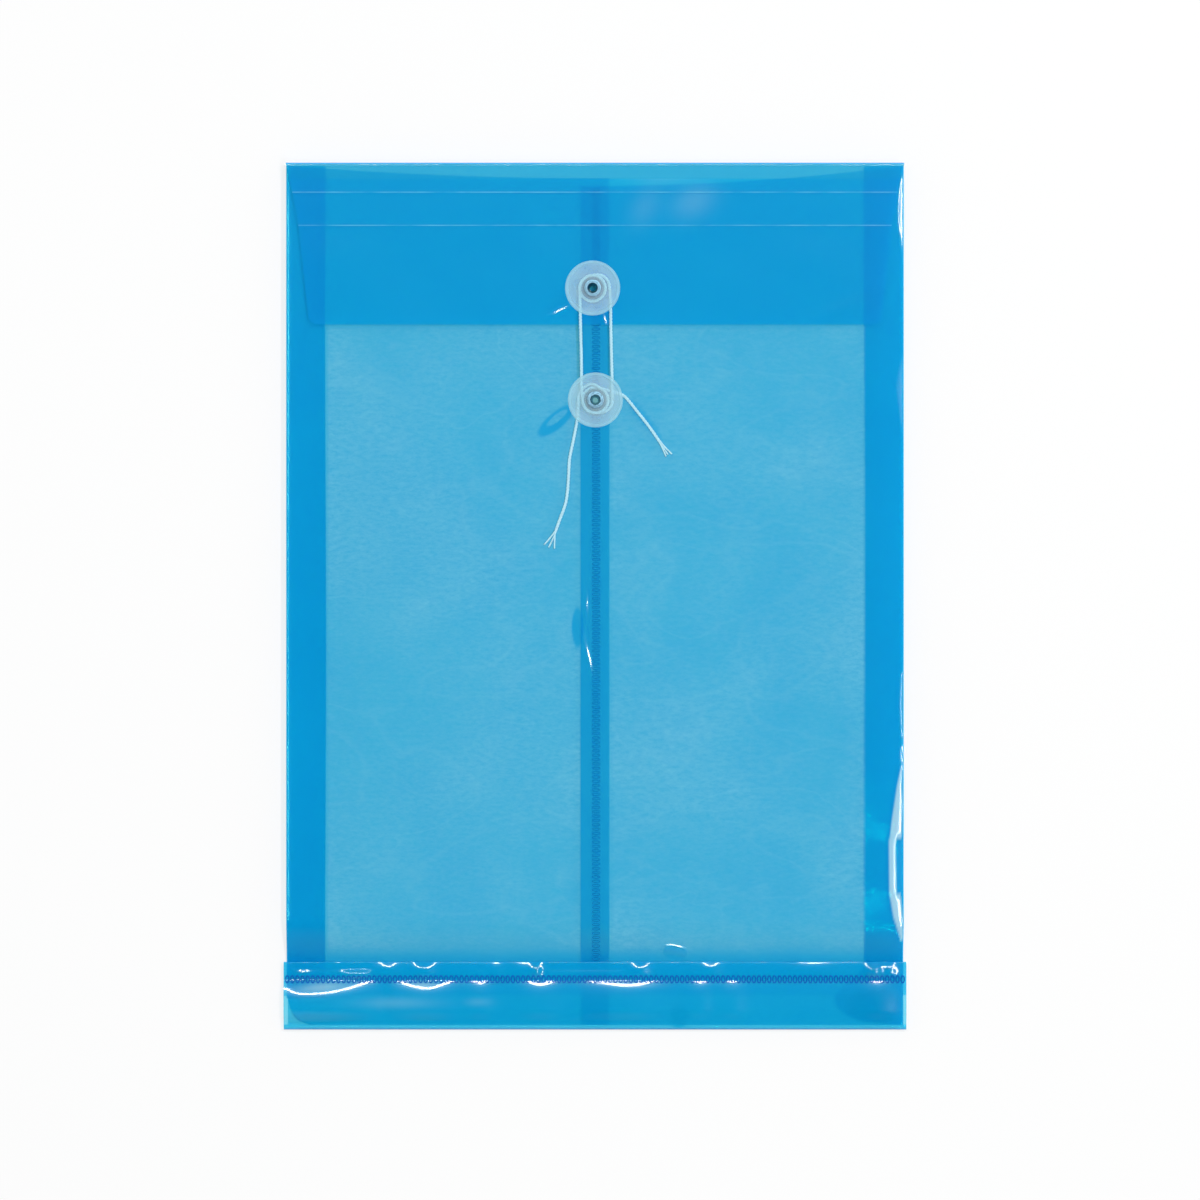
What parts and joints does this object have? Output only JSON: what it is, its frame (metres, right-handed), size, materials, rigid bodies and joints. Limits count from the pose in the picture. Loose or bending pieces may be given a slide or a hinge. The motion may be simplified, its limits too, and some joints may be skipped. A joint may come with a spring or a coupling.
{
  "type": "string file folder",
  "caption": "Flat A4 document envelope of clear blue film with gusseted sides, a folded hem, a creased flap, and a string wound round a button on the flap and a button on the pocket.",
  "frame": {"origin": "on the surface the folder lies on, under the middle of its outline", "axes": "+X across the folder to the right seen from the front, +Y up the folder towards the flap, +Z out of its front"},
  "size_m": [0.237, 0.33, 0.0129],
  "materials": {
    "film": "clear blue PVC film",
    "disc": "frosted translucent",
    "hub": "frosted translucent",
    "eyelet": "nickel plate",
    "string": "twisted cotton"
  },
  "bodies": {
    "pocket": {"back_panel": "film", "left_gusset_rear_leaf": "film", "right_gusset_rear_leaf": "film", "left_gusset_front_foot": "film", "right_gusset_front_foot": "film", "front_left_foot": "film", "front_right_foot": "film", "bottom_hem": "film"},
    "front": {"front_left_panel": "film", "front_right_panel": "film", "left_gusset_front_leaf": "film", "right_gusset_front_leaf": "film", "pocket_button_eyelet": "eyelet"},
    "pocket_button": {"pocket_button_disc": "disc", "pocket_button_hub": "hub"},
    "spine": {"flap_spine": "film"},
    "first_strip": {"flap_first_strip": "film"},
    "second_strip": {"flap_second_strip": "film"},
    "flap": {"flap_panel": "film", "flap_button_eyelet": "eyelet", "string": "string"},
    "flap_button": {"flap_button_disc": "disc", "flap_button_hub": "hub"}
  },
  "joints": [
    {"name": "flap_fold", "type": "hinge", "parent": "pocket", "child": "spine", "pos_m": [0, 0.1649, 0.0001], "axis": [-1, 0, 0], "range_deg": [0, 90]},
    {"name": "flap_fold_upper", "type": "hinge", "parent": "spine", "child": "first_strip", "pos_m": [0, 0.1649, 0.0077], "axis": [-1, 0, 0], "range_deg": [0, 90]},
    {"name": "first_score", "type": "hinge", "parent": "first_strip", "child": "second_strip", "pos_m": [0, 0.1536, 0.0077], "axis": [-1, 0, 0], "range_deg": [0, 90]},
    {"name": "second_score", "type": "hinge", "parent": "second_strip", "child": "flap", "pos_m": [0, 0.141, 0.0077], "axis": [-1, 0, 0], "range_deg": [0, 90]},
    {"name": "mouth_open", "type": "hinge", "parent": "pocket", "child": "front", "pos_m": [0, -0.11985, 0.0059], "axis": [1, 0, 0], "range_deg": [0, 3]},
    {"name": "pocket_button_spin", "type": "hinge", "parent": "front", "child": "pocket_button", "pos_m": [0.00015, 0.0746, 0.0065], "axis": [0, 0, 1], "continuous": true},
    {"name": "flap_button_spin", "type": "hinge", "parent": "flap", "child": "flap_button", "pos_m": [-0.0009, 0.117, 0.0078], "axis": [0, 0, 1], "continuous": true}
  ],
  "couplings": [
    {"joint": "flap_fold_upper", "follows": "flap_fold", "ratio": 1},
    {"joint": "mouth_open", "follows": "flap_fold", "ratio": 0.03333}
  ]
}
